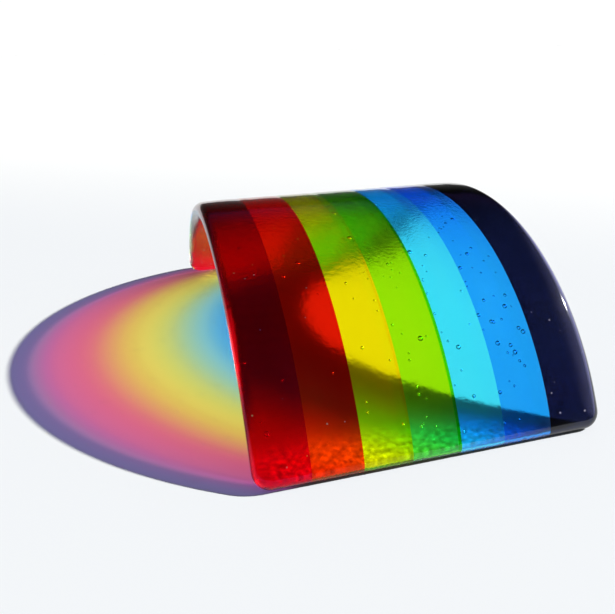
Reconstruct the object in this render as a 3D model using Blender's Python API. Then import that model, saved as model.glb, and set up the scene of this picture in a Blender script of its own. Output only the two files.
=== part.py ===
"""A free-standing rainbow arch of fused and slumped glass.

Seven coloured glass strips lie side by side on one clear base sheet. The kiln fuses them into one panel
with soft round edges, and a second firing sags the panel over a curved mould. It then stands on its two
long edges, as a short tunnel does.

The model follows the same order. The panel is a flat slab with rounded corners and edges. It is sliced
into the base sheet and the strips, and each piece is bent round the mould. Units are metres.

X runs along the tunnel from the red end to the violet end, Y across it from foot to foot, and Z is up.
The origin is on the ground, under the middle of the arch.
"""
import math

import bmesh
import bpy

# The strips from the red end to the violet end: name, width as cut, colour.
STRIPS = (
    ("red_strip", 0.0147, (0.42, 0.004, 0.008)),
    ("orange_strip", 0.0139, (0.75, 0.035, 0.003)),
    ("yellow_strip", 0.0135, (0.90, 0.72, 0.010)),
    ("green_strip", 0.0139, (0.22, 0.62, 0.015)),
    ("turquoise_strip", 0.0128, (0.040, 0.62, 0.85)),
    ("blue_strip", 0.0143, (0.020, 0.22, 0.80)),
    ("violet_strip", 0.0169, (0.012, 0.008, 0.060)),
)
CLEAR_COLOUR = (0.86, 0.93, 0.90)

SHEET_THICKNESS = 0.003      # one layer of glass, the base sheet or a strip
OUTER_RADIUS = 0.085         # the arch's convex face
HALF_ANGLE = math.radians(64.2)  # from the crest down to each foot
CORNER_RADIUS = 0.005        # the panel's four corners, seen flat
EDGE_RADIUS = 0.0029         # the fire-polished rim, almost a full round
FOOT_FLAT_DEPTH = 0.00025    # what is ground off each foot so that it stands without rocking
GAP = 0.0003                 # kept between two pieces that touch

CORNER_STEPS = 5
EDGE_STEPS = 4
BEND_STEPS = 40              # straight facets along the arc

PANEL_WIDTH = sum(width for _, width, _ in STRIPS)
GLASS_THICKNESS = 2 * SHEET_THICKNESS
MIDDLE_RADIUS = OUTER_RADIUS - SHEET_THICKNESS
PANEL_LENGTH = 2 * HALF_ANGLE * MIDDLE_RADIUS


def whole(bm):
    """Everything in a mesh, in the form that the cutting tools take."""
    return bm.verts[:] + bm.edges[:] + bm.faces[:]


def fused_slab():
    """The fused panel before slumping: X across the strips, Y along them, Z through the glass."""
    bm = bmesh.new()
    bmesh.ops.create_cube(bm, size=1.0)
    bmesh.ops.scale(bm, vec=(PANEL_WIDTH, PANEL_LENGTH, GLASS_THICKNESS), verts=bm.verts)
    corners = [edge for edge in bm.edges if abs(edge.verts[0].co.z - edge.verts[1].co.z) > SHEET_THICKNESS]
    bmesh.ops.bevel(bm, geom=corners, offset=CORNER_RADIUS, segments=CORNER_STEPS, profile=0.5,
                    affect="EDGES")
    rim = [edge for edge in bm.edges if abs(edge.verts[0].co.z - edge.verts[1].co.z) < GAP]
    bmesh.ops.bevel(bm, geom=rim, offset=EDGE_RADIUS, segments=EDGE_STEPS, profile=0.5, affect="EDGES")
    return bm


def keep_between(bm, axis, low, high):
    """Saw a slab at two planes across one axis, keep the middle and close the two cuts."""
    for place, side in ((low, -1), (high, 1)):
        point = [0.0, 0.0, 0.0]
        normal = [0.0, 0.0, 0.0]
        point[axis] = place
        normal[axis] = side
        cut = bmesh.ops.bisect_plane(bm, geom=whole(bm), dist=1e-7, plane_co=point, plane_no=normal,
                                     clear_outer=True)
        rim = [item for item in cut["geom_cut"] if isinstance(item, bmesh.types.BMEdge)]
        if rim:
            bmesh.ops.contextual_create(bm, geom=rim)


def score_for_bending(bm):
    """Add the lines across a slab at which its facets turn when it is bent."""
    reach = PANEL_LENGTH / 2 - CORNER_RADIUS
    for step in range(BEND_STEPS + 1):
        along = reach * (2 * step / BEND_STEPS - 1)
        bmesh.ops.bisect_plane(bm, geom=whole(bm), dist=1e-7, plane_co=(0, along, 0), plane_no=(0, 1, 0))


def slump(bm):
    """Bend a slab round the mould. Its middle layer keeps its length."""
    for vert in bm.verts:
        angle = vert.co.y / MIDDLE_RADIUS
        radius = MIDDLE_RADIUS + vert.co.z
        vert.co.y = radius * math.sin(angle)
        vert.co.z = radius * math.cos(angle)


def grind_feet(bm, level):
    """Cut the two feet off level, which leaves a narrow flat along each, and close the cuts."""
    cut = bmesh.ops.bisect_plane(bm, geom=whole(bm), dist=1e-7, plane_co=(0, 0, level),
                                 plane_no=(0, 0, -1), clear_outer=True)
    rim = [item for item in cut["geom_cut"] if isinstance(item, bmesh.types.BMEdge)]
    for side in (-1, 1):
        foot = [edge for edge in rim if side * edge.verts[0].co.y > 0]
        if foot:
            bmesh.ops.contextual_create(bm, geom=foot)


def ground_level():
    """The height, measured from the mould's centre, at which the feet are ground flat."""
    rim_centre = HALF_ANGLE - EDGE_RADIUS / MIDDLE_RADIUS
    lowest = MIDDLE_RADIUS * math.cos(rim_centre) - EDGE_RADIUS
    return lowest + FOOT_FLAT_DEPTH


def glass(name, colour):
    """A transparent glass with its own colour."""
    material = bpy.data.materials.new(name)
    material.use_nodes = True
    shader = material.node_tree.nodes["Principled BSDF"]
    shader.inputs["Base Color"].default_value = (*colour, 1.0)
    shader.inputs["Roughness"].default_value = 0.03
    shader.inputs["Metallic"].default_value = 0.0
    shader.inputs["IOR"].default_value = 1.52
    shader.inputs["Transmission Weight"].default_value = 0.9
    material.diffuse_color = (*colour, 1.0)
    return material


def glass_piece(name, colour, across, through):
    """Saw one piece out of the slab, bend it and put it in the scene.

    across is its range along X and through its range through the thickness.
    """
    bm = fused_slab()
    keep_between(bm, 0, *across)
    keep_between(bm, 2, *through)
    score_for_bending(bm)
    slump(bm)
    level = ground_level()
    grind_feet(bm, level)
    bmesh.ops.translate(bm, vec=(0, 0, -level), verts=bm.verts)
    bmesh.ops.triangulate(bm, faces=[face for face in bm.faces if len(face.verts) > 3])
    bmesh.ops.recalc_face_normals(bm, faces=bm.faces)
    mesh = bpy.data.meshes.new(name)
    bm.to_mesh(mesh)
    bm.free()
    mesh.materials.append(glass(name.replace("strip", "glass").replace("sheet", "glass"), colour))
    mesh.shade_smooth()
    mesh.set_sharp_from_angle(angle=math.radians(35))
    piece = bpy.data.objects.new(name, mesh)
    bpy.context.scene.collection.objects.link(piece)
    return piece


for old in list(bpy.data.objects):
    bpy.data.objects.remove(old, do_unlink=True)

half_width = PANEL_WIDTH / 2
past_rim = GLASS_THICKNESS       # a plane beyond the slab cuts nothing

glass_piece("clear_base_sheet", CLEAR_COLOUR,
            (-half_width - past_rim, half_width + past_rim), (-past_rim, -GAP / 2))

left = -half_width
for number, (strip_name, strip_width, strip_colour) in enumerate(STRIPS):
    right = left + strip_width
    low_cut = left + GAP / 2 if number > 0 else left - past_rim
    high_cut = right - GAP / 2 if number < len(STRIPS) - 1 else right + past_rim
    glass_piece(strip_name, strip_colour, (low_cut, high_cut), (GAP / 2, past_rim))
    left = right
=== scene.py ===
import math
import random

import bmesh
import bpy
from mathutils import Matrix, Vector, noise


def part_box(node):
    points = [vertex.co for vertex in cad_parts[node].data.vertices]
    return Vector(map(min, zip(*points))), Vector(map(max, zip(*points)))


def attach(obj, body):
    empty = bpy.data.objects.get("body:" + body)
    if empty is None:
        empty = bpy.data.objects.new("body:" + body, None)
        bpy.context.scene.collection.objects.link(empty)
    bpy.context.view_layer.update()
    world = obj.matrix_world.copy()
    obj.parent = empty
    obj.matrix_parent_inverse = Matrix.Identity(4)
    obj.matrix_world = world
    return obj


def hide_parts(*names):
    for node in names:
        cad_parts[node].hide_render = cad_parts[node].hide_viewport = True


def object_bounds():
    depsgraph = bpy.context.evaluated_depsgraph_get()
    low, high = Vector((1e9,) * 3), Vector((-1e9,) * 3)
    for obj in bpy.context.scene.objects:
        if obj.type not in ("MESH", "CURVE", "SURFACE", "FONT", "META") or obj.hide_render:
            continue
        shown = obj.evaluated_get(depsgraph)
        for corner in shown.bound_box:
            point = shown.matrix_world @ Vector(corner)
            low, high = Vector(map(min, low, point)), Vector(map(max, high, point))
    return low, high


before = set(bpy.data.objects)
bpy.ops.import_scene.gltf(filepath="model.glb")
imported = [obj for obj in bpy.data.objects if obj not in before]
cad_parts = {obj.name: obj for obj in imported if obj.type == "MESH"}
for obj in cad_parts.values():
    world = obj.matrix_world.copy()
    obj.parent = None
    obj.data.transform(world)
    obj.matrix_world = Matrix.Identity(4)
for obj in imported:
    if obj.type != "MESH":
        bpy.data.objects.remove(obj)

cad_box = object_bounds()

# ---------------------------------------------------------------------------------------------------
# The clear base sheet. Real piece: one 3 mm sheet of clear glass, the inner layer of the panel. It is
# cut to a rectangle, fused to the coloured strips in a kiln, which melts every outside edge round, and
# then sagged over a curved mould. The face that lay on the kiln shelf keeps the shelf's fine texture.
# ---------------------------------------------------------------------------------------------------
SHEET_THICKNESS = 0.003
OUTER_RADIUS = 0.085
HALF_ANGLE = math.radians(64.2)
CORNER_RADIUS = 0.005
RIM_RADIUS = 0.0029
FOOT_FLAT_DEPTH = 0.00025
CORNER_STEPS = 12
RIM_STEPS = 9
BEND_SPACING = 0.0011        # along the arc, between two lines of the mesh
SHEET_ACROSS_SPACING = 0.004
SHARP_ANGLE = math.radians(35)
CUT_TOLERANCE = 1e-7

MIDDLE_RADIUS = OUTER_RADIUS - SHEET_THICKNESS
PANEL_WIDTH = cad_box[1][0] - cad_box[0][0]
PANEL_LENGTH = 2 * HALF_ANGLE * MIDDLE_RADIUS
RED_END, VIOLET_END = -PANEL_WIDTH / 2, PANEL_WIDTH / 2

FUSED, BUBBLE = 1, 2         # material slots of a piece. Slot 0 is its own glass


def everything(bm):
    return bm.verts[:] + bm.edges[:] + bm.faces[:]


def flat_panel():
    """The whole fused panel before slumping: X across the strips, Y along them, Z through the glass."""
    bm = bmesh.new()
    bmesh.ops.create_cube(bm, size=1.0)
    bmesh.ops.scale(bm, vec=(PANEL_WIDTH, PANEL_LENGTH, 2 * SHEET_THICKNESS), verts=bm.verts)
    upright = [e for e in bm.edges if abs(e.verts[0].co.z - e.verts[1].co.z) > SHEET_THICKNESS]
    bmesh.ops.bevel(bm, geom=upright, offset=CORNER_RADIUS, segments=CORNER_STEPS, profile=0.5,
                    affect="EDGES")
    level = [e for e in bm.edges if abs(e.verts[0].co.z - e.verts[1].co.z) < SHEET_THICKNESS]
    bmesh.ops.bevel(bm, geom=level, offset=RIM_RADIUS, segments=RIM_STEPS, profile=0.5, affect="EDGES")
    return bm


def saw(bm, axis, place, side):
    """Cut the panel at one plane, drop what lies on the given side, and close it with a fused face."""
    point, normal = [0.0] * 3, [0.0] * 3
    point[axis], normal[axis] = place, side
    cut = bmesh.ops.bisect_plane(bm, geom=everything(bm), dist=CUT_TOLERANCE, plane_co=point,
                                 plane_no=normal, clear_outer=True)
    rim = [item for item in cut["geom_cut"] if isinstance(item, bmesh.types.BMEdge)]
    for face in bmesh.ops.contextual_create(bm, geom=rim)["faces"]:
        face.material_index = FUSED


def score(bm, axis, low, high, spacing):
    """Add evenly spaced lines across one axis, so that the glass can bend and ripple between them."""
    count = max(1, round((high - low) / spacing))
    normal = [0.0] * 3
    normal[axis] = 1.0
    for step in range(1, count):
        point = [0.0] * 3
        point[axis] = low + (high - low) * step / count
        bmesh.ops.bisect_plane(bm, geom=everything(bm), dist=CUT_TOLERANCE, plane_co=point,
                               plane_no=normal)


def mark_depth(bm):
    """Note at each point how much of its layer lies behind it: all on the faces, none at the rim."""
    depth = bm.verts.layers.float.new("glass_depth")
    for vert in bm.verts:
        vert[depth] = min(1.0, abs(vert.co.z) / SHEET_THICKNESS)


def slump(bm):
    """Bend the panel round the mould, and stand it on the ground. The middle layer keeps its length."""
    rim_centre = HALF_ANGLE - RIM_RADIUS / MIDDLE_RADIUS
    ground = MIDDLE_RADIUS * math.cos(rim_centre) - RIM_RADIUS + FOOT_FLAT_DEPTH
    for vert in bm.verts:
        angle = vert.co.y / MIDDLE_RADIUS
        radius = MIDDLE_RADIUS + vert.co.z
        vert.co.y = radius * math.sin(angle)
        vert.co.z = radius * math.cos(angle) - ground
    cut = bmesh.ops.bisect_plane(bm, geom=everything(bm), dist=CUT_TOLERANCE, plane_co=(0, 0, 0),
                                 plane_no=(0, 0, -1), clear_outer=True)
    rim = [item for item in cut["geom_cut"] if isinstance(item, bmesh.types.BMEdge)]
    for side in (-1, 1):
        foot = [edge for edge in rim if side * edge.verts[0].co.y > 0]
        if foot:
            bmesh.ops.contextual_create(bm, geom=foot)


def piece_from(bm, name, materials):
    """Turn a finished piece of glass into an object that stands for its CAD node."""
    bmesh.ops.triangulate(bm, faces=[face for face in bm.faces if len(face.verts) > 4])
    mesh = bpy.data.meshes.new(name)
    bm.to_mesh(mesh)
    bm.free()
    for material in materials:
        mesh.materials.append(material)
    mesh.shade_smooth()
    mesh.set_sharp_from_angle(angle=SHARP_ANGLE)
    piece = bpy.data.objects.new(name + "_glass", mesh)
    bpy.context.scene.collection.objects.link(piece)
    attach(piece, "root")
    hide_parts(name)
    return piece


# Small helpers for shader trees. Most add one node and give back its output.
def feed(tree, socket, value):
    """Give a node's input a link from another node's output, or a plain value."""
    if isinstance(value, bpy.types.NodeSocket):
        tree.links.new(value, socket)
    else:
        socket.default_value = value


def add_node(tree, kind, values, **settings):
    """A new node. values fill its inputs, which are told by name or by number."""
    node = tree.nodes.new(kind)
    for label, setting in settings.items():
        setattr(node, label, setting)
    for label, value in values.items():
        feed(tree, node.inputs[label], value)
    return node


def maths(tree, operation, *values):
    return add_node(tree, "ShaderNodeMath", dict(enumerate(values)), operation=operation).outputs["Value"]


def change(tree, value, start, end, before=0.0, after=1.0, pace="SMOOTHSTEP"):
    """Go from before to after while the value goes from start to end."""
    values = {"Value": value, "From Min": start, "From Max": end, "To Min": before, "To Max": after}
    return add_node(tree, "ShaderNodeMapRange", values, interpolation_type=pace).outputs["Result"]


def mixed(tree, share, first, second, way="MIX"):
    """Mix two colours. The share is that of the second."""
    values = {"Fac": share, "Color1": first, "Color2": second}
    return add_node(tree, "ShaderNodeMixRGB", values, blend_type=way).outputs["Color"]


def deepened(tree, colour, times):
    """The colour that light has after as many passes through the glass as told."""
    return add_node(tree, "ShaderNodeGamma", {"Color": colour, "Gamma": times}).outputs["Color"]


def cloudy(tree, where, scale, detail):
    values = {"Vector": where, "Scale": scale, "Detail": detail}
    return add_node(tree, "ShaderNodeTexNoise", values).outputs["Fac"]


def scaled(tree, vector, amount):
    return add_node(tree, "ShaderNodeVectorMath", {0: vector, "Scale": amount},
                    operation="SCALE").outputs["Vector"]


def parts_of(tree, vector):
    return add_node(tree, "ShaderNodeSeparateXYZ", {"Vector": vector}).outputs


def object_place(tree):
    return tree.nodes.new("ShaderNodeTexCoord").outputs["Object"]


def new_group(name, inputs, outputs):
    """A shader node group with named sockets. inputs are (name, default) rows, outputs (name, kind)."""
    group = bpy.data.node_groups.new(name, "ShaderNodeTree")
    for label, default in inputs:
        kind = "NodeSocketFloat" if isinstance(default, float) else "NodeSocketColor"
        group.interface.new_socket(label, in_out="INPUT", socket_type=kind).default_value = default
    for label, kind in outputs:
        group.interface.new_socket(label, in_out="OUTPUT", socket_type=kind)
    return group, group.nodes.new("NodeGroupInput").outputs, group.nodes.new("NodeGroupOutput").inputs


WHITE = (1, 1, 1, 1)
STREAK_STRETCH = (90, 25, 25)            # streaks are thin across the strips and long along them
RIM_DEPTH = 0.3                          # the depth at which the rim's own share of colour holds
JOIN_LINE = (0.0006, 0.0011)             # from a join's middle, where its deeper line fades out
# The colours by the feet are painted light: brighter, for the light that shows through the glass low down.
FOOT_PAINTED_LIGHT_HEIGHTS = (0.016, 0.004)     # where the colour by the feet starts, and where it is full
# Pale dots painted into the darkest colours as glints: painted highlights.
GLINT_DOT_SCALE = 260.0
GLINT_DOT_SIZES = (0.075, 0.035)              # as a share of the dots' spacing: the outside and the core
GLINT_DOT_COLOUR = (0.30, 0.24, 0.30, 1)


def coloured_melt_group():
    """The colour of melted glass: its depth at the rim and by a join, brighter painted light by its feet,
    streaks, and pale dots painted as glints. A high At Rim paints a dark rim as shade.
    """
    group, given, result = new_group(
        "coloured_melt",
        [("Glass Colour", WHITE), ("Foot Painted Light", WHITE), ("Depth", 1.0), ("At Rim", 1.0),
         ("Streaks", 0.05), ("Join At", 1.0), ("Join Deepens", 1.0), ("Specks", 0.0)],
        [("Seen Colour", "NodeSocketColor")])
    place = object_place(group)
    at = parts_of(group, place)
    drawn = add_node(group, "ShaderNodeMapping", {"Vector": place, "Scale": STREAK_STRETCH})
    streak = maths(group, "SUBTRACT", cloudy(group, drawn.outputs["Vector"], 1.0, 3.0), 0.5)
    uneven = maths(group, "MULTIPLY_ADD", streak, given["Streaks"], 1.0)
    # At the rim the colour takes the At Rim passes: fewer where the coloured layer thins, and many on the
    # clear sheet, where they paint a dark rim as shade.
    edge_on = change(group, given["Depth"], RIM_DEPTH, 1.0, given["At Rim"], 1.0)
    off_join = maths(group, "ABSOLUTE", maths(group, "SUBTRACT", at["X"], given["Join At"]))
    by_join = change(group, off_join, *JOIN_LINE, given["Join Deepens"], 1.0)
    passes = maths(group, "MULTIPLY", maths(group, "MULTIPLY", uneven, edge_on), by_join)
    # Low down each strip's colour gives way to a brighter one: painted light, for the light that shows
    # through the glass by the feet.
    foot_light_share = change(group, at["Z"], *FOOT_PAINTED_LIGHT_HEIGHTS)
    own = mixed(group, foot_light_share, given["Glass Colour"], given["Foot Painted Light"])
    # A face of transparent glass shows the root of its colour, so the colour is squared here.
    squared = deepened(group, deepened(group, own, passes), 2.0)
    # Pale dots painted into the colour stand for glints: painted highlights.
    glint_dots = add_node(group, "ShaderNodeTexVoronoi", {"Vector": place, "Scale": GLINT_DOT_SCALE})
    pale = change(group, glint_dots.outputs["Distance"], *GLINT_DOT_SIZES, 0.0, given["Specks"], pace="LINEAR")
    feed(group, result["Seen Colour"], mixed(group, pale, squared, GLINT_DOT_COLOUR))
    return group


CLEAR_OF_RIM = (0.60, 1.0)               # depths between which the rim's cast gives way to the colour's
RED_END_FADE = (0.004, 0.014)            # from the red end, where the bright rim gives way to a dark one
RIM_CAST_AT_RED_END = (0.53, 0.50, 0.75, 1)
RIM_CAST = (0.02, 0.02, 0.03, 1)
FLECK_BAND = (0.054, 0.064)              # from the tunnel's middle line, where the flecks come up
FLECK_STRENGTH = 2.2
FLECK_SCALE = 700.0
FLECK_MIDDLE = 0.40                      # the noise value that leaves the light as it is
FLECK_FADE = 0.008                       # from the red end's edge inwards


def cast_light_group():
    """What a lamp sends through the glass: colours run together, flecks by the feet, a dim rim."""
    group, given, result = new_group(
        "cast_light", [("Own Colour", WHITE), ("Depth", 1.0), ("Run Together", 0.0)],
        [("Lamp Colour", "NodeSocketColor")])
    place = object_place(group)
    at = parts_of(group, place)
    across = change(group, at["X"], RED_END, VIOLET_END, pace="LINEAR")
    blend = add_node(group, "ShaderNodeValToRGB", {"Fac": across}, name="colours")
    chosen = mixed(group, given["Run Together"], given["Own Colour"], blend.outputs["Color"])
    off_red_end = change(group, at["X"], *[RED_END + reach for reach in RED_END_FADE])
    rim = mixed(group, off_red_end, RIM_CAST_AT_RED_END, RIM_CAST)
    through = mixed(group, change(group, given["Depth"], *CLEAR_OF_RIM), rim, chosen)

    # The flecks are laid out where the light lands: each point is carried down the lamp's direction,
    # which the last section sets.
    carried = add_node(group, "ShaderNodeVectorMath", {"Scale": at["Z"]}, name="carried",
                       operation="SCALE")
    landing = add_node(group, "ShaderNodeVectorMath", {0: place, 1: carried.outputs["Vector"]},
                       operation="SUBTRACT").outputs["Vector"]
    lands_at = parts_of(group, landing)
    by_foot = change(group, maths(group, "ABSOLUTE", lands_at["Y"]), *FLECK_BAND, 0.0, FLECK_STRENGTH)
    under_arch = change(group, lands_at["X"], RED_END, RED_END + FLECK_FADE)
    strength = maths(group, "MULTIPLY", by_foot, under_arch)
    flecks = maths(group, "SUBTRACT", cloudy(group, landing, FLECK_SCALE, 2.0), FLECK_MIDDLE)
    focused = maths(group, "MULTIPLY_ADD", flecks, strength, 1.0)
    feed(group, result["Lamp Colour"], scaled(group, through, focused))
    return group


RIPPLE_SCALE = 260.0
GRAIN_SCALE = 900.0


def kiln_surface_group():
    """The relief that the kiln leaves: a slow ripple in polished glass, and fine grain from a shelf."""
    group, given, result = new_group(
        "kiln_surface", [("Ripple", 1.0), ("Grain", 0.2), ("Least Roughness", 0.0), ("Haze", 0.03)],
        [("Height", "NodeSocketFloat"), ("Roughness", "NodeSocketFloat")])
    place = object_place(group)
    ripple = maths(group, "MULTIPLY", cloudy(group, place, RIPPLE_SCALE, 1.5), given["Ripple"])
    grain = cloudy(group, place, GRAIN_SCALE, 3.0)
    feed(group, result["Height"], maths(group, "MULTIPLY_ADD", grain, given["Grain"], ripple))
    feed(group, result["Roughness"],
         maths(group, "MULTIPLY_ADD", grain, given["Haze"], given["Least Roughness"]))
    return group


coloured_melt = coloured_melt_group()
cast_light = cast_light_group()
kiln_surface = kiln_surface_group()

GLASS_IOR = 1.52
# A face seen at a slant deepens its colour: partly the longer path through the glass, partly painted shade
# that darkens the crest.
SLANT_RANGE = (0.15, 0.75)               # how far a face turns away, from its own colour to its slant share
TURNED_BACK = 3.0                        # the power by which a face that is turned away stops a lamp


def fused_glass(name, colour, streaks, ripple, grain, least_roughness, haze, relief, foot_painted_light_colour=None,
                run_together=0.0, slant_depth_and_shade=(1, 1, 1), at_rim=1.0, shine=0.25, shine_tint=(1, 1, 1),
                join_at=1.0, join_deepens=1.0, specks=0.0):
    """Fire-polished transparent glass. Lamps and bounced light pass it unbent, in its own colour."""
    material = bpy.data.materials.new(name)
    material.use_nodes = True
    tree = material.node_tree
    depth = add_node(tree, "ShaderNodeAttribute", {}, attribute_name="glass_depth").outputs["Fac"]
    facing = tree.nodes.new("ShaderNodeLayerWeight").outputs["Facing"]
    melt = add_node(tree, "ShaderNodeGroup", {
        "Glass Colour": (*colour, 1), "Foot Painted Light": (*(foot_painted_light_colour or colour), 1), "Depth": depth,
        "At Rim": at_rim, "Streaks": streaks, "Join At": join_at, "Join Deepens": join_deepens,
        "Specks": specks}, node_tree=coloured_melt)
    surface = add_node(tree, "ShaderNodeGroup", {
        "Ripple": ripple, "Grain": grain, "Least Roughness": least_roughness, "Haze": haze},
        node_tree=kiln_surface)
    bump = add_node(tree, "ShaderNodeBump", {
        "Strength": 1.0, "Distance": relief, "Height": surface.outputs["Height"]})
    # Seen at a slant the colour deepens: partly the longer path through the glass, partly painted shade
    # that darkens the crest.
    slant_depth_and_shade_share = (*[share ** 2 for share in slant_depth_and_shade], 1)
    deepened_and_shaded_by_slant = mixed(tree, change(tree, facing, *SLANT_RANGE), melt.outputs["Seen Colour"], slant_depth_and_shade_share,
                     way="MULTIPLY")
    shader = tree.nodes["Principled BSDF"]
    for label, value in {
            "Metallic": 0.0, "IOR": GLASS_IOR, "Specular IOR Level": shine,
            "Specular Tint": (*shine_tint, 1), "Transmission Weight": 1.0, "Base Color": deepened_and_shaded_by_slant,
            "Roughness": surface.outputs["Roughness"], "Normal": bump.outputs["Normal"]}.items():
        feed(tree, shader.inputs[label], value)

    cast = add_node(tree, "ShaderNodeGroup", {
        "Own Colour": (*colour, 1), "Depth": depth, "Run Together": run_together}, node_tree=cast_light)
    let_by = maths(tree, "SUBTRACT", 1.0, maths(tree, "POWER", facing, TURNED_BACK))
    lamp_side = add_node(tree, "ShaderNodeBsdfTransparent",
                         {"Color": scaled(tree, cast.outputs["Lamp Colour"], let_by)}).outputs["BSDF"]
    path = tree.nodes.new("ShaderNodeLightPath").outputs
    bounced = add_node(tree, "ShaderNodeMixShader",
                       {"Fac": path["Is Diffuse Ray"], 1: shader.outputs["BSDF"], 2: lamp_side})
    lit = add_node(tree, "ShaderNodeMixShader",
                   {"Fac": path["Is Shadow Ray"], 1: bounced.outputs["Shader"], 2: lamp_side})
    feed(tree, tree.nodes["Material Output"].inputs["Surface"], lit.outputs["Shader"])
    return material


# Where two pieces have melted into one there is no surface left, so light goes straight on.
fused_face = bpy.data.materials.new("fused_face")
fused_face.use_nodes = True
fused_tree = fused_face.node_tree
fused_tree.nodes.remove(fused_tree.nodes["Principled BSDF"])
straight_on = fused_tree.nodes.new("ShaderNodeBsdfTransparent").outputs["BSDF"]
feed(fused_tree, fused_tree.nodes["Material Output"].inputs["Surface"], straight_on)

# Its at_rim of 30 paints the clear sheet's rounded edges dark: painted shade, for the dark line along those
# edges.
clear_glass = fused_glass("clear_glass", (0.96, 0.98, 0.985), streaks=0.3, ripple=0.2, grain=1.0,
                          least_roughness=0.16, haze=0.06, relief=0.00007, at_rim=30.0, shine=0.12)

sheet = flat_panel()
saw(sheet, 2, 0.0, 1)
score(sheet, 0, RED_END + CORNER_RADIUS, VIOLET_END - CORNER_RADIUS, SHEET_ACROSS_SPACING)
score(sheet, 1, -PANEL_LENGTH / 2 + CORNER_RADIUS, PANEL_LENGTH / 2 - CORNER_RADIUS, BEND_SPACING)
mark_depth(sheet)
slump(sheet)
base_sheet = piece_from(sheet, "clear_base_sheet", (clear_glass, fused_face))

# ---------------------------------------------------------------------------------------------------
# The seven coloured strips. Real pieces: straight strips of 3 mm transparent sheet glass, cut by hand
# and laid side by side on the base sheet. In the kiln they melt into it and into each other. The face
# sinks a little along each join, ripples slightly, and small air bubbles stay trapped under it.
# ---------------------------------------------------------------------------------------------------
STRIP_ACROSS_SPACING = 0.0016
WAVE_HEIGHT = 0.00006
WAVE_SCALE = 70.0
WAVE_SLICE = 4.0             # which slice of the noise the waves are read from
JOIN_DEPTH = 0.00009
JOIN_REACH = 0.0008
SHOULDER_DEPTH = 0.0005      # how far the face rounds down by the panel's outside edges
SHOULDER_REACH = 0.008

# Name, the colour that one pass through the strip shows to the eye, the same by the feet, where it is
# painted brighter as the light that shows through the glass low down, the share of it that is left when
# the strip is seen at a slant, which deepens the colour along the longer path and also paints shade on
# the crest, and the colour it casts from a lamp. From the red end to the violet end.
STRIPS = (
    ("red_strip", (0.50, 0.001, 0.003), (0.85, 0.001, 0.012), (0.25, 0.9, 0.9), (0.77, 0.09, 0.34)),
    ("orange_strip", (0.88, 0.010, 0.001), (1.0, 0.070, 0.001), (0.50, 0.5, 0.5), (1.00, 0.20, 0.17)),
    ("yellow_strip", (0.98, 0.82, 0.001), (0.78, 0.95, 0.002), (0.26, 0.35, 0.5), (1.06, 0.73, 0.07)),
    ("green_strip", (0.38, 0.88, 0.001), (0.14, 0.90, 0.060), (0.16, 0.22, 0.5), (0.57, 0.75, 0.25)),
    ("turquoise_strip", (0.06, 0.84, 1.0), (0.06, 0.84, 1.0), (0.0, 0.48, 0.95), (0.10, 0.56, 0.80)),
    ("blue_strip", (0.016, 0.42, 1.0), (0.016, 0.42, 1.0), (0.0, 0.50, 1.0), (0.02, 0.22, 0.70)),
    ("violet_strip", (0.006, 0.009, 0.043), (0.006, 0.009, 0.043), (0.15, 0.12, 0.12),
     (0.004, 0.002, 0.03)),
)
# The warm glasses colour what they mirror.
SHINE_TINTS = {
    "red_strip": (1.0, 0.10, 0.45),
    "orange_strip": (1.0, 0.30, 0.12),
    "yellow_strip": (0.9, 1.0, 0.12),
}
# Where two strips overlapped a little, the one below shows deeper in a thin line by its right join.
OVERLAPS = {"yellow_strip": 1.8, "green_strip": 3.0}
# Tiny pale dots are painted into the darkest colours: painted glints, like the sun's on small bubbles at
# the face.
GLINT_SPECKS = {"red_strip": 0.35, "orange_strip": 0.35, "violet_strip": 0.8}
# The cast light is cool under the red end's rim: the share of the width, and the colour.
COOL_CAST = ((0.0, (0.22, 0.19, 0.46)), (0.09, (0.33, 0.14, 0.40)))
CAST_SHIFT = 0.009           # how far the thickness of the glass carries the cast colours along

names = [row[0] for row in STRIPS]
joins = [(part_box(a)[1][0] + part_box(b)[0][0]) / 2 for a, b in zip(names, names[1:])]
edges = [RED_END] + joins + [VIOLET_END]

# The colours of the cast light: cool at the red end's rim, then each strip's own, run together.
blend = cast_light.nodes["colours"].color_ramp
blend.interpolation = "CARDINAL"
blend.elements.remove(blend.elements[1])
blend.elements[0].position, blend.elements[0].color = COOL_CAST[0][0], (*COOL_CAST[0][1], 1)
blend.elements.new(COOL_CAST[1][0]).color = (*COOL_CAST[1][1], 1)
for (*_, cast_colour), left, right in zip(STRIPS, edges, edges[1:]):
    place = ((left + right) / 2 + CAST_SHIFT) / PANEL_WIDTH + 0.5
    blend.elements.new(min(place, 1.0)).color = (*cast_colour, 1)


def ripple_face(bm):
    """Wave the outer face slightly, sink it along the joins and round it down to the panel's edges."""
    for vert in bm.verts:
        share = max(0.0, vert.co.z / SHEET_THICKNESS) ** 2
        wave = noise.noise(Vector((vert.co.x * WAVE_SCALE, vert.co.y * WAVE_SCALE, WAVE_SLICE)))
        dip = sum(math.exp(-((vert.co.x - join) / JOIN_REACH) ** 2) for join in joins)
        inwards = min(PANEL_WIDTH / 2 - abs(vert.co.x), PANEL_LENGTH / 2 - abs(vert.co.y))
        shoulder = max(0.0, 1.0 - inwards / SHOULDER_REACH) ** 2
        vert.co.z += share * (WAVE_HEIGHT * wave - JOIN_DEPTH * dip - SHOULDER_DEPTH * shoulder)


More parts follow.
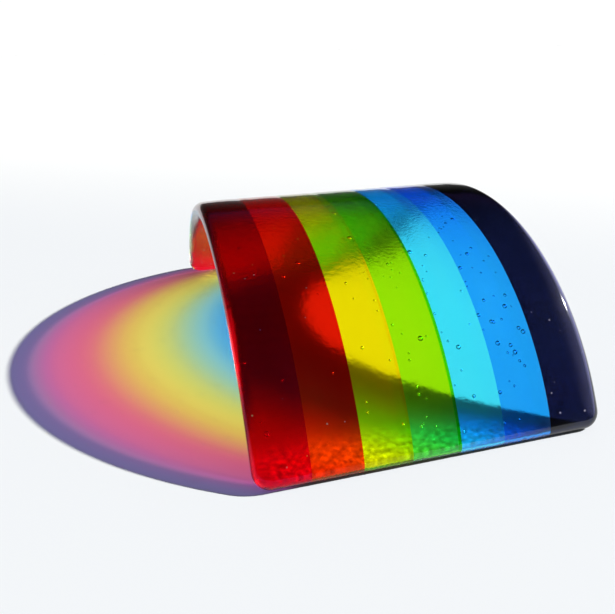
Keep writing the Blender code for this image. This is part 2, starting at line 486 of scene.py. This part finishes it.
def add_bubble(bm, at, radius, squash):
    """A void in the glass: a closed flattened ball whose faces point into it."""
    depth = bm.verts.layers.float["glass_depth"]
    made = bmesh.ops.create_icosphere(bm, subdivisions=2, radius=1.0)
    bmesh.ops.scale(bm, vec=(radius, radius, radius * squash), verts=made["verts"])
    bmesh.ops.translate(bm, vec=at, verts=made["verts"])
    for vert in made["verts"]:
        vert[depth] = 1.0
    faces = {face for vert in made["verts"] for face in vert.link_faces}
    bmesh.ops.reverse_faces(bm, faces=list(faces))
    for face in faces:
        face.material_index = BUBBLE


# How many bubbles each strip holds: loose in it, in a row by its left join, and by its right join.
BUBBLES = {
    "red_strip": (12, 0, 0),
    "orange_strip": (12, 0, 0),
    "yellow_strip": (12, 0, 16),
    "green_strip": (84, 0, 0),
    "turquoise_strip": (22, 26, 0),
    "blue_strip": (76, 22, 0),
    "violet_strip": (12, 0, 0),
}
BUBBLE_RADII = (0.00027, 0.00078)
SMALL_BIAS = 2.2             # above 1, small bubbles are commoner than large ones
BUBBLE_SQUASH = 0.7
BUBBLE_HEIGHTS = (0.0009, 0.0019)        # above the base sheet
LOOSE_MARGIN = 0.0016        # from a strip's edge to its loose bubbles
ROW_OFFSETS = (0.0009, 0.0014)           # from a join to a row of bubbles by it

chance = random.Random(7)


def scatter_bubbles(bm, left, right, loose, by_left, by_right):
    reach = PANEL_LENGTH / 2 - 2 * RIM_RADIUS
    for number in range(loose + by_left + by_right):
        radius = BUBBLE_RADII[0] + (BUBBLE_RADII[1] - BUBBLE_RADII[0]) * chance.random() ** SMALL_BIAS
        along = chance.uniform(-reach, reach)
        height = chance.uniform(*BUBBLE_HEIGHTS)
        if number < loose:
            across = chance.uniform(left + LOOSE_MARGIN, right - LOOSE_MARGIN)
        elif number < loose + by_left:
            across = left + chance.uniform(*ROW_OFFSETS)
        else:
            across = right - chance.uniform(*ROW_OFFSETS)
        add_bubble(bm, (across, along, height), radius, BUBBLE_SQUASH)


bubble_wall = fused_glass("bubble_wall", (1, 1, 1), streaks=0.0, ripple=0.0, grain=0.0,
                          least_roughness=0.0, haze=0.0, relief=0.0001)

for (name, colour, foot_painted_light_colour, slant_depth_and_shade, _), left, right in zip(STRIPS, edges, edges[1:]):
    strip = flat_panel()
    saw(strip, 2, 0.0, -1)
    if name != names[0]:
        saw(strip, 0, left, -1)
    if name != names[-1]:
        saw(strip, 0, right, 1)
    score(strip, 0, max(left, RED_END + CORNER_RADIUS), min(right, VIOLET_END - CORNER_RADIUS),
          STRIP_ACROSS_SPACING)
    score(strip, 1, -PANEL_LENGTH / 2 + CORNER_RADIUS, PANEL_LENGTH / 2 - CORNER_RADIUS, BEND_SPACING)
    mark_depth(strip)
    ripple_face(strip)
    scatter_bubbles(strip, left, right, *BUBBLES[name])
    slump(strip)
    slot = name.replace("strip", "glass")
    # Each strip's glass carries painted light by its feet, painted shade at a slant and pale dots painted
    # as glints.
    glass = fused_glass(slot, colour, streaks=0.25, ripple=1.0, grain=0.02, least_roughness=0.07,
                        haze=0.02, relief=0.00003, foot_painted_light_colour=foot_painted_light_colour, run_together=1.0,
                        slant_depth_and_shade=slant_depth_and_shade, at_rim=0.8, shine_tint=SHINE_TINTS.get(name, (1, 1, 1)),
                        join_at=right, join_deepens=OVERLAPS.get(name, 1.0), specks=GLINT_SPECKS.get(name, 0.0))
    piece = piece_from(strip, name, (glass, fused_face, bubble_wall))

# ---------------------------------------------------------------------------------------------------
# The table top, the lamp, the room and the camera. A plain pale surface, one soft lamp low on the
# violet side, so that the glass throws its colours across the table, and a pale room all round it.
# ---------------------------------------------------------------------------------------------------
TABLE_SIZE = 3.0
TABLE_SEGMENTS = 24
TABLE_DROP = 0.00005         # keeps the table clear of the ground feet
TABLE_ROUGHNESS = 0.8
TABLE_SHINE = 0.1
TABLE_SHADES = ((0.83, 0.85, 0.885, 1), (0.85, 0.87, 0.90, 1))
TABLE_FAR = (0.98, 0.98, 0.98, 1)
FAR_DIRECTION = (0.45, 0.90, 0.0)        # the way in which the table turns paler
FAR_RANGE = (0.05, 0.32)

table = bmesh.new()
bmesh.ops.create_grid(table, x_segments=TABLE_SEGMENTS, y_segments=TABLE_SEGMENTS, size=TABLE_SIZE / 2)
bmesh.ops.translate(table, vec=(0, 0, -TABLE_DROP), verts=table.verts)
table_mesh = bpy.data.meshes.new("table_top")
table.to_mesh(table_mesh)
table.free()
table_top = bpy.data.objects.new("table_top", table_mesh)
bpy.context.scene.collection.objects.link(table_top)

paint = bpy.data.materials.new("table_paint")
paint.use_nodes = True
paint_tree = paint.node_tree
mottle = paint_tree.nodes.new("ShaderNodeTexNoise")
mottle.inputs["Scale"].default_value = 3.0
shades = add_node(paint_tree, "ShaderNodeValToRGB", {"Fac": mottle.outputs["Fac"]})
for element, shade in zip(shades.color_ramp.elements, TABLE_SHADES):
    element.color = shade
off_centre = add_node(paint_tree, "ShaderNodeVectorMath", {0: object_place(paint_tree), 1: FAR_DIRECTION},
                      operation="DOT_PRODUCT")
far = change(paint_tree, off_centre.outputs["Value"], *FAR_RANGE)
coat = paint_tree.nodes["Principled BSDF"]
coat.inputs["Roughness"].default_value = TABLE_ROUGHNESS
coat.inputs["Specular IOR Level"].default_value = TABLE_SHINE
feed(paint_tree, coat.inputs["Base Color"], mixed(paint_tree, far, shades.outputs["Color"], TABLE_FAR))
table_mesh.materials.append(paint)

KEY_TOWARDS = Vector((0.809, -0.118, 0.576))
KEY_IRRADIANCE = 5.4
KEY_ANGLE = math.radians(1.0)

key = bpy.data.lights.new("key_lamp", "SUN")
key.energy = KEY_IRRADIANCE
key.angle = KEY_ANGLE
key_lamp = bpy.data.objects.new("key_lamp", key)
key_lamp.rotation_mode = "QUATERNION"
key_lamp.rotation_quaternion = KEY_TOWARDS.to_track_quat("Z", "Y")
bpy.context.scene.collection.objects.link(key_lamp)
cast_light.nodes["carried"].inputs[0].default_value = KEY_TOWARDS / KEY_TOWARDS.z

# The room round the table: white where it is looked at, dark with a window on the lamp's side where the
# glass mirrors it, and cool and dim where it only fills the shadows.
SEEN_ROOM = (1.03, 1.03, 1.03, 1)
FILLING_ROOM = (0.07, 0.075, 0.06, 1)
WINDOW = (2.2, 2.2, 3.8, 1)
WINDOW_SIDE = (0.60, 0.98)               # how far towards the lamp's side, from the glass
MIRRORED_LOW, MIRRORED_HIGH = (0.12, 0.12, 0.115, 1), (0.002, 0.002, 0.006, 1)
MIRRORED_BETWEEN = ((0.10, (0.045, 0.045, 0.042)), (0.25, (0.008, 0.008, 0.008)),
                    (0.325, (0.004, 0.003, 0.008)), (0.335, (0.03, 0.018, 0.07)),
                    (0.60, (0.004, 0.004, 0.012)))

world = bpy.data.worlds.new("soft_room")
world.use_nodes = True
room_tree = world.node_tree
towards = parts_of(room_tree, room_tree.nodes.new("ShaderNodeTexCoord").outputs["Generated"])
mirrored_room = add_node(room_tree, "ShaderNodeValToRGB", {"Fac": towards["Z"]})
heights = mirrored_room.color_ramp
heights.elements[0].color, heights.elements[1].color = MIRRORED_LOW, MIRRORED_HIGH
for height, colour in MIRRORED_BETWEEN:
    heights.elements.new(height).color = (*colour, 1)
ray = room_tree.nodes.new("ShaderNodeLightPath").outputs
window_side = change(room_tree, towards["X"], *WINDOW_SIDE)
mirrored = mixed(room_tree, window_side, mirrored_room.outputs["Color"], WINDOW)
looked_at = mixed(room_tree, ray["Is Reflection Ray"], SEEN_ROOM, mirrored)
feed(room_tree, room_tree.nodes["Background"].inputs["Color"],
     mixed(room_tree, ray["Is Diffuse Ray"], looked_at, FILLING_ROOM))
bpy.context.scene.world = world

CAMERA_AT = Vector((-0.0682, -0.1875, 0.1079))
CAMERA_YAW = math.radians(15.75)
CAMERA_PITCH = math.radians(26.33)
CAMERA_LENS = 35.73
CAMERA_FILM = 36.0
CAMERA_NEAR = 0.01

lens = bpy.data.cameras.new("camera")
lens.lens = CAMERA_LENS
lens.sensor_width = CAMERA_FILM
lens.clip_start = CAMERA_NEAR
camera = bpy.data.objects.new("camera", lens)
camera.location = CAMERA_AT
camera.rotation_euler = (math.pi / 2 - CAMERA_PITCH, 0.0, -CAMERA_YAW)
bpy.context.scene.collection.objects.link(camera)
bpy.context.scene.camera = camera

CLEAR_LAYERS = 48            # how many see-through faces one ray may cross: every bubble and join counts
bpy.context.scene.view_settings.view_transform = "Standard"
bpy.context.scene.cycles.transparent_max_bounces = CLEAR_LAYERS
